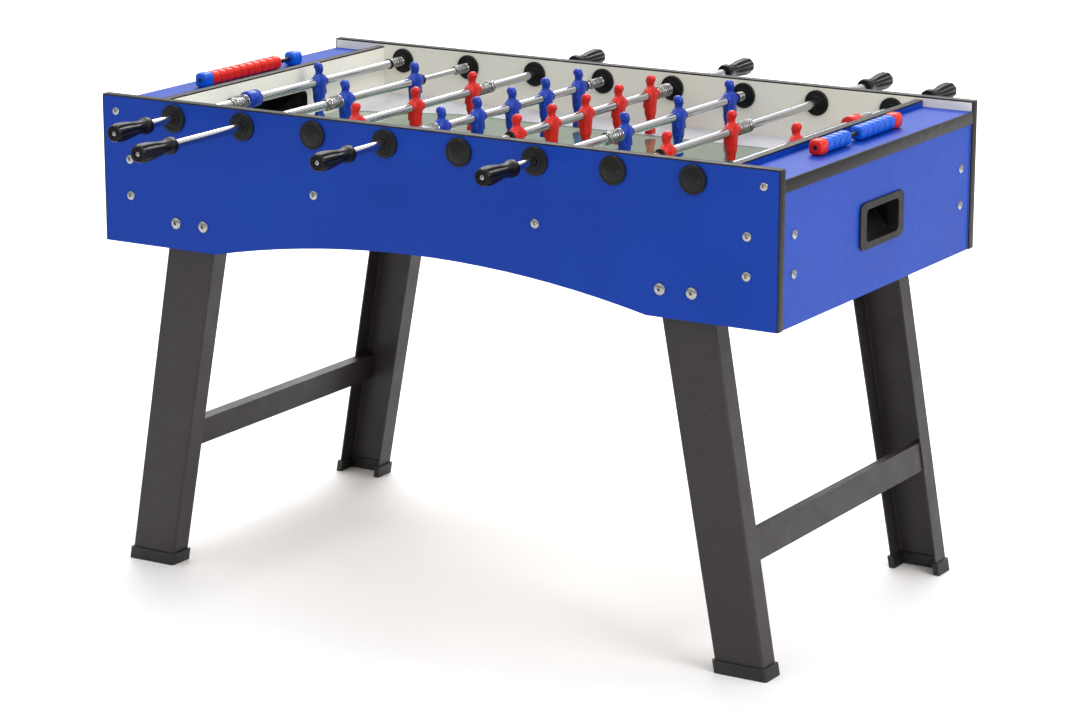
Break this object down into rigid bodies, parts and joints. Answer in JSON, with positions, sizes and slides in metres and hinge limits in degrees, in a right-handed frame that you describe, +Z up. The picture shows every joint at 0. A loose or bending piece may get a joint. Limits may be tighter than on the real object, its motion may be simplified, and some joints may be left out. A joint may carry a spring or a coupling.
{
  "type": "foosball table",
  "caption": "Blue cabinet football table on splayed steel legs, with telescopic rods, moulded players, bead score counters and end ball outlets.",
  "frame": {"origin": "on the floor under the middle of the cabinet", "axes": "+Z up, +X along the length of the cabinet, -Y towards the long side where the blue team stands"},
  "size_m": [1.37, 1.335, 0.88],
  "materials": {
    "side_panel": "blue melamine on chipboard, satin",
    "end_panel": "blue melamine on chipboard, satin",
    "goal_wall": "off-white melamine, satin",
    "shelf": "blue melamine, satin",
    "edge_trim": "black edging, semi-matte",
    "board": "raw fibreboard",
    "field_glass": "green printed safety glass",
    "ramp": "off-white plastic",
    "raw_wood": "raw softwood",
    "outlet_plastic": "black moulded plastic",
    "bearing_plastic": "black moulded nylon",
    "black_screw": "blackened steel",
    "leg_steel": "dark grey powder coat",
    "shoe_plastic": "black moulded plastic",
    "zinc": "zinc-plated steel",
    "scorer_bar": "black painted steel",
    "blue_plastic": "blue moulded plastic",
    "red_plastic": "red moulded plastic",
    "chrome": "chromed steel",
    "handle_plastic": "black moulded plastic, slight sheen"
  },
  "bodies": {
    "cabinet": {"ball_outlets": "outlet_plastic", "battens_and_posts": "raw_wood", "bearing_screws": "black_screw", "blue_scorer_blocks": "blue_plastic", "edge_trims": "edge_trim", "end_panels": "end_panel", "field_ramps": "ramp", "front_left_leg": "leg_steel", "front_right_leg": "leg_steel", "front_side_panel": "side_panel", "goal_walls": "goal_wall", "inner_bearings": "bearing_plastic", "leg_bolts": "zinc", "leg_shoes": "shoe_plastic", "outer_bearings": "bearing_plastic", "panel_screws": "zinc", "playfield_board": "board", "playfield_glass": "field_glass", "rear_left_leg": "leg_steel", "rear_right_leg": "leg_steel", "rear_side_panel": "side_panel", "red_scorer_blocks": "red_plastic", "scorer_bars": "scorer_bar", "shelves": "shelf", "stretchers": "leg_steel"},
    "rod_1_inner": {"rod_1_bar": "chrome"},
    "rod_1": {"rod_1_tube": "chrome", "rod_1_players": "blue_plastic", "rod_1_handle": "handle_plastic"},
    "rod_2_inner": {"rod_2_bar": "chrome"},
    "rod_2": {"rod_2_tube": "chrome", "rod_2_players": "blue_plastic", "rod_2_handle": "handle_plastic"},
    "rod_3_inner": {"rod_3_bar": "chrome"},
    "rod_3": {"rod_3_tube": "chrome", "rod_3_players": "red_plastic", "rod_3_handle": "handle_plastic"},
    "rod_4_inner": {"rod_4_bar": "chrome"},
    "rod_4": {"rod_4_tube": "chrome", "rod_4_players": "blue_plastic", "rod_4_handle": "handle_plastic"},
    "rod_5_inner": {"rod_5_bar": "chrome"},
    "rod_5": {"rod_5_tube": "chrome", "rod_5_players": "red_plastic", "rod_5_handle": "handle_plastic"},
    "rod_6_inner": {"rod_6_bar": "chrome"},
    "rod_6": {"rod_6_tube": "chrome", "rod_6_players": "blue_plastic", "rod_6_handle": "handle_plastic"},
    "rod_7_inner": {"rod_7_bar": "chrome"},
    "rod_7": {"rod_7_tube": "chrome", "rod_7_players": "red_plastic", "rod_7_handle": "handle_plastic"},
    "rod_8_inner": {"rod_8_bar": "chrome"},
    "rod_8": {"rod_8_tube": "chrome", "rod_8_players": "red_plastic", "rod_8_handle": "handle_plastic"},
    "red_bead_stack": {"red_beads": "red_plastic"},
    "blue_bead_stack_front": {"blue_beads_front": "blue_plastic"},
    "blue_bead_stack_rear": {"blue_beads_rear": "blue_plastic"}
  },
  "joints": [
    {"name": "rod_1_spin", "type": "hinge", "parent": "cabinet", "child": "rod_1_inner", "pos_m": [-0.525, 0, 0.8403], "axis": [0, 1, 0], "range_deg": [-225, 30]},
    {"name": "rod_1_push", "type": "slide", "parent": "rod_1_inner", "child": "rod_1", "axis": [0, 1, 0], "range_m": [-0.144, 0]},
    {"name": "rod_2_spin", "type": "hinge", "parent": "cabinet", "child": "rod_2_inner", "pos_m": [-0.375, 0, 0.8403], "axis": [0, 1, 0], "continuous": true},
    {"name": "rod_2_push", "type": "slide", "parent": "rod_2_inner", "child": "rod_2", "axis": [0, 1, 0], "range_m": [-0.227, 0.115]},
    {"name": "rod_3_spin", "type": "hinge", "parent": "cabinet", "child": "rod_3_inner", "pos_m": [-0.225, 0, 0.8403], "axis": [0, -1, 0], "continuous": true},
    {"name": "rod_3_push", "type": "slide", "parent": "rod_3_inner", "child": "rod_3", "axis": [0, -1, 0], "range_m": [-0.149, 0.041]},
    {"name": "rod_4_spin", "type": "hinge", "parent": "cabinet", "child": "rod_4_inner", "pos_m": [-0.075, 0, 0.8403], "axis": [0, 1, 0], "continuous": true},
    {"name": "rod_4_push", "type": "slide", "parent": "rod_4_inner", "child": "rod_4", "axis": [0, 1, 0], "range_m": [-0.086, 0.018]},
    {"name": "rod_5_spin", "type": "hinge", "parent": "cabinet", "child": "rod_5_inner", "pos_m": [0.075, 0, 0.8403], "axis": [0, -1, 0], "continuous": true},
    {"name": "rod_5_push", "type": "slide", "parent": "rod_5_inner", "child": "rod_5", "axis": [0, -1, 0], "range_m": [-0.01, 0.094]},
    {"name": "rod_6_spin", "type": "hinge", "parent": "cabinet", "child": "rod_6_inner", "pos_m": [0.225, 0, 0.8403], "axis": [0, 1, 0], "continuous": true},
    {"name": "rod_6_push", "type": "slide", "parent": "rod_6_inner", "child": "rod_6", "axis": [0, 1, 0], "range_m": [-0.207, 0]},
    {"name": "rod_7_spin", "type": "hinge", "parent": "cabinet", "child": "rod_7_inner", "pos_m": [0.375, 0, 0.8403], "axis": [0, -1, 0], "continuous": true},
    {"name": "rod_7_push", "type": "slide", "parent": "rod_7_inner", "child": "rod_7", "axis": [0, -1, 0], "range_m": [-0.254, 0.088]},
    {"name": "rod_8_spin", "type": "hinge", "parent": "cabinet", "child": "rod_8_inner", "pos_m": [0.525, 0, 0.8403], "axis": [0, -1, 0], "range_deg": [-225, 30]},
    {"name": "rod_8_push", "type": "slide", "parent": "rod_8_inner", "child": "rod_8", "axis": [0, -1, 0], "range_m": [-0.086, 0.058]},
    {"name": "red_bead_stack_slide", "type": "slide", "parent": "cabinet", "child": "red_bead_stack", "axis": [0, 1, 0], "range_m": [0, 0.0385]},
    {"name": "blue_bead_stack_front_slide", "type": "slide", "parent": "cabinet", "child": "blue_bead_stack_front", "axis": [0, 1, 0], "range_m": [0, 0.0385]},
    {"name": "blue_bead_stack_rear_slide", "type": "slide", "parent": "cabinet", "child": "blue_bead_stack_rear", "axis": [0, 1, 0], "range_m": [-0.0385, 0]}
  ]
}
